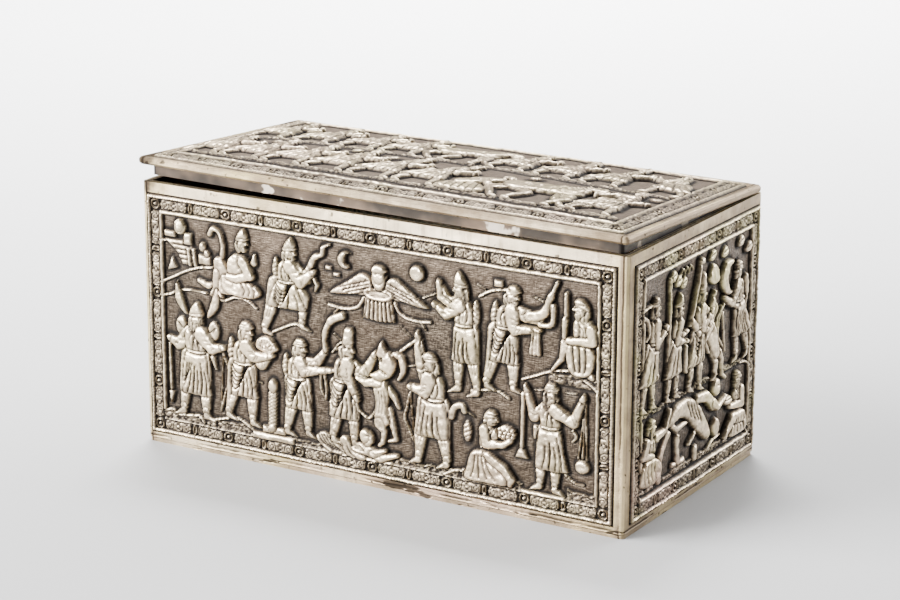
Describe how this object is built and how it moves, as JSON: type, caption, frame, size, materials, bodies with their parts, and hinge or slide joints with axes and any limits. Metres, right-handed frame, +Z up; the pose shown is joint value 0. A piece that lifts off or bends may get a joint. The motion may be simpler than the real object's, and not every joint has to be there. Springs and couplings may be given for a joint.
{
  "type": "reliquary casket",
  "caption": "Rectangular silver casket, hollow, with embossed figure panels in plain frames and a loose embossed lid lying slightly raised at the front.",
  "frame": {"origin": "centre of the flat underside", "axes": "+X along the length to the right end, +Y to the back, +Z up; the front faces -Y"},
  "size_m": [0.2042, 0.1082, 0.1113],
  "materials": {
    "plain_silver": "rubbed bright silver with faint scratches and warm tarnish",
    "embossed_silver": "oxidised silver, bright on raised work and dark in the hollows",
    "tarnished_silver": "dark brown tarnish with bright worn spots",
    "base_silver": "dull yellowish silver"
  },
  "bodies": {
    "root": {"case": "plain_silver", "base_plate": "base_silver", "front_panel": "embossed_silver", "right_panel": "embossed_silver", "back_panel": "embossed_silver", "left_panel": "embossed_silver", "lid_rim": "plain_silver", "lid_panel": "embossed_silver", "lid_flange": "tarnished_silver"}
  },
  "joints": []
}
